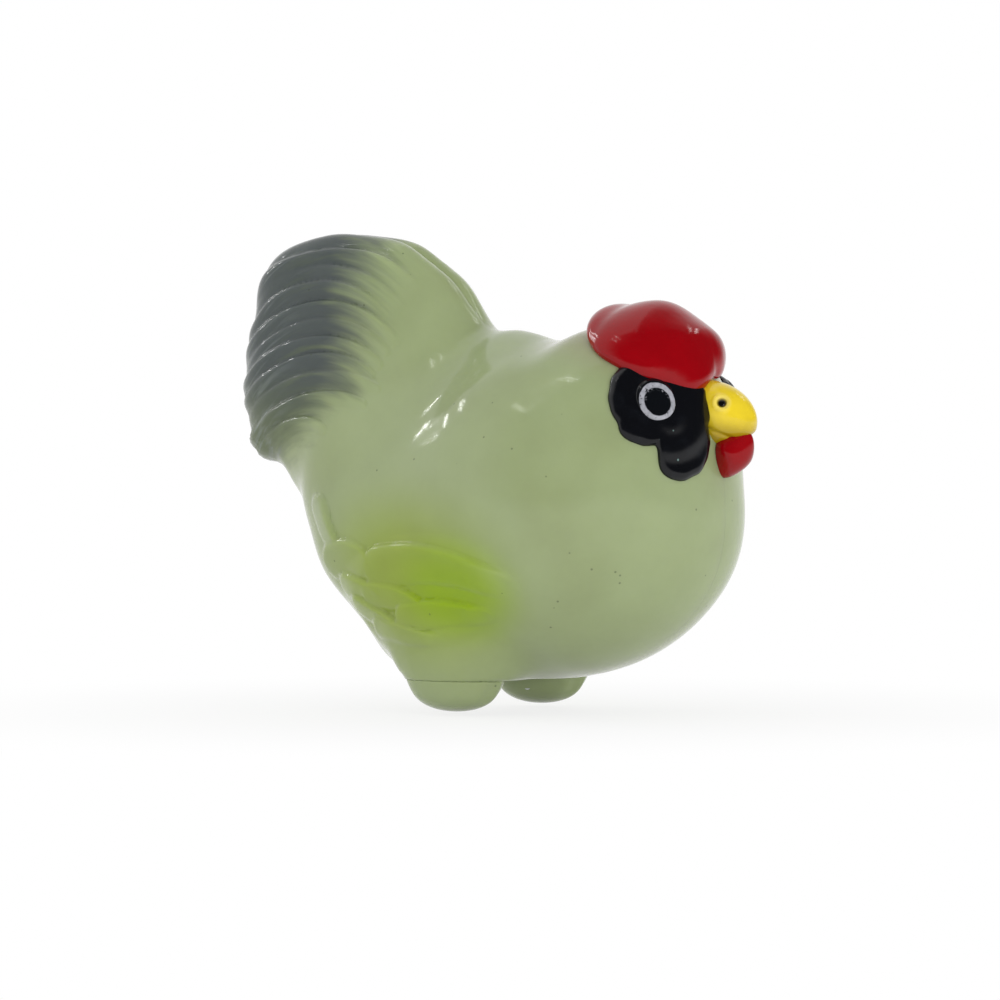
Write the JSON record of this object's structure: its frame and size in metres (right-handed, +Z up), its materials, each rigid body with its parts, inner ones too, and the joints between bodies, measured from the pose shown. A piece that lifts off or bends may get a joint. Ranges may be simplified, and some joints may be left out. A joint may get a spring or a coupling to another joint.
{
  "type": "wind-up hopping chicken",
  "caption": "Plump moulded chicken with raised tail, on two small feet; a side knob winds a spring motor inside whose twin cranks lift and lower the feet.",
  "frame": {"origin": "middle of the bounding box at the ground, under the feet", "axes": "+X towards the beak, +Y the bird's left side (the knob), +Z up"},
  "size_m": [0.0677, 0.0414, 0.0573],
  "materials": {
    "body_paint": "glossy moulded plastic, grey-green, fading to slate grey on the tail",
    "comb_paint": "glossy red enamel",
    "beak_paint": "glossy yellow enamel",
    "patch_paint": "glossy black enamel",
    "steel": "plain zinc-plated steel",
    "spring_steel": "blued spring steel",
    "brass": "cut brass",
    "knob_plastic": "ivory moulded plastic"
  },
  "bodies": {
    "body": {"body_shell_right": "body_paint", "body_shell_left": "body_paint", "shell_screws": "steel", "comb": "comb_paint", "beak": "beak_paint", "wattle": "comb_paint", "eye_right": "patch_paint", "eye_left": "patch_paint", "face_patch_right": "patch_paint", "face_patch_left": "patch_paint", "frame_plate_right": "steel", "frame_plate_left": "steel", "frame_pillars": "steel", "pillar_nuts": "steel", "guide_pins": "steel", "mainspring": "spring_steel"},
    "great_wheel_body": {"great_wheel": "brass", "click_rivet": "steel", "click_spring": "spring_steel"},
    "click_body": {"click": "steel"},
    "winding": {"winding_arbor": "steel", "winding_knob": "knob_plastic", "ratchet_wheel": "brass", "great_wheel_collar": "steel"},
    "second": {"second_arbor": "steel", "second_pinion": "brass", "second_wheel": "brass"},
    "hop_crank": {"hop_shaft": "steel", "hop_pinion": "brass", "crank_wheel": "brass", "crank_discs": "steel"},
    "governor": {"governor_arbor": "steel", "governor_pinion": "brass", "star_wheel": "brass"},
    "verge_body": {"verge": "steel", "verge_arbor": "steel"},
    "leg_right_body": {"leg_right": "steel", "foot_right": "body_paint", "foot_pin_right": "steel"},
    "leg_left_body": {"leg_left": "steel", "foot_left": "body_paint", "foot_pin_left": "steel"}
  },
  "joints": [
    {"name": "hop_crank_turn", "type": "hinge", "parent": "body", "child": "hop_crank", "pos_m": [0, 0, 0.014], "axis": [0, 1, 0], "continuous": true},
    {"name": "second_wheel_turn", "type": "hinge", "parent": "body", "child": "second", "pos_m": [0.00278, 0, 0.02371], "axis": [0, 1, 0], "continuous": true},
    {"name": "great_wheel_turn", "type": "hinge", "parent": "body", "child": "great_wheel_body", "pos_m": [-0.00702, 0, 0.02615], "axis": [0, 1, 0], "continuous": true},
    {"name": "governor_turn", "type": "hinge", "parent": "body", "child": "governor", "pos_m": [0.00798, 0, 0.01259], "axis": [0, 1, 0], "continuous": true},
    {"name": "leg_right_swing", "type": "hinge", "parent": "hop_crank", "child": "leg_right_body", "pos_m": [0, -0.0098, 0.0156], "axis": [0, 1, 0], "continuous": true},
    {"name": "leg_left_swing", "type": "hinge", "parent": "hop_crank", "child": "leg_left_body", "pos_m": [0, 0.0098, 0.0156], "axis": [0, 1, 0], "continuous": true},
    {"name": "winding_turn", "type": "hinge", "parent": "great_wheel_body", "child": "winding", "pos_m": [-0.00702, 0, 0.02615], "axis": [0, -1, 0], "range_deg": [0, 1440], "deforming": ["mainspring"]},
    {"name": "click_lift", "type": "hinge", "parent": "great_wheel_body", "child": "click_body", "pos_m": [-0.01213, 0, 0.0291], "axis": [0, 1, 0], "range_deg": [0, 6]},
    {"name": "verge_rock", "type": "hinge", "parent": "body", "child": "verge_body", "pos_m": [0.01188, 0, 0.01816], "axis": [0, 1, 0], "range_deg": [-4, 4]}
  ],
  "couplings": [
    {"joint": "second_wheel_turn", "follows": "hop_crank_turn", "ratio": -0.33333},
    {"joint": "great_wheel_turn", "follows": "hop_crank_turn", "ratio": 0.083333},
    {"joint": "governor_turn", "follows": "hop_crank_turn", "ratio": -3},
    {"joint": "leg_right_swing", "follows": "hop_crank_turn", "ratio": -1},
    {"joint": "leg_left_swing", "follows": "hop_crank_turn", "ratio": -1}
  ]
}
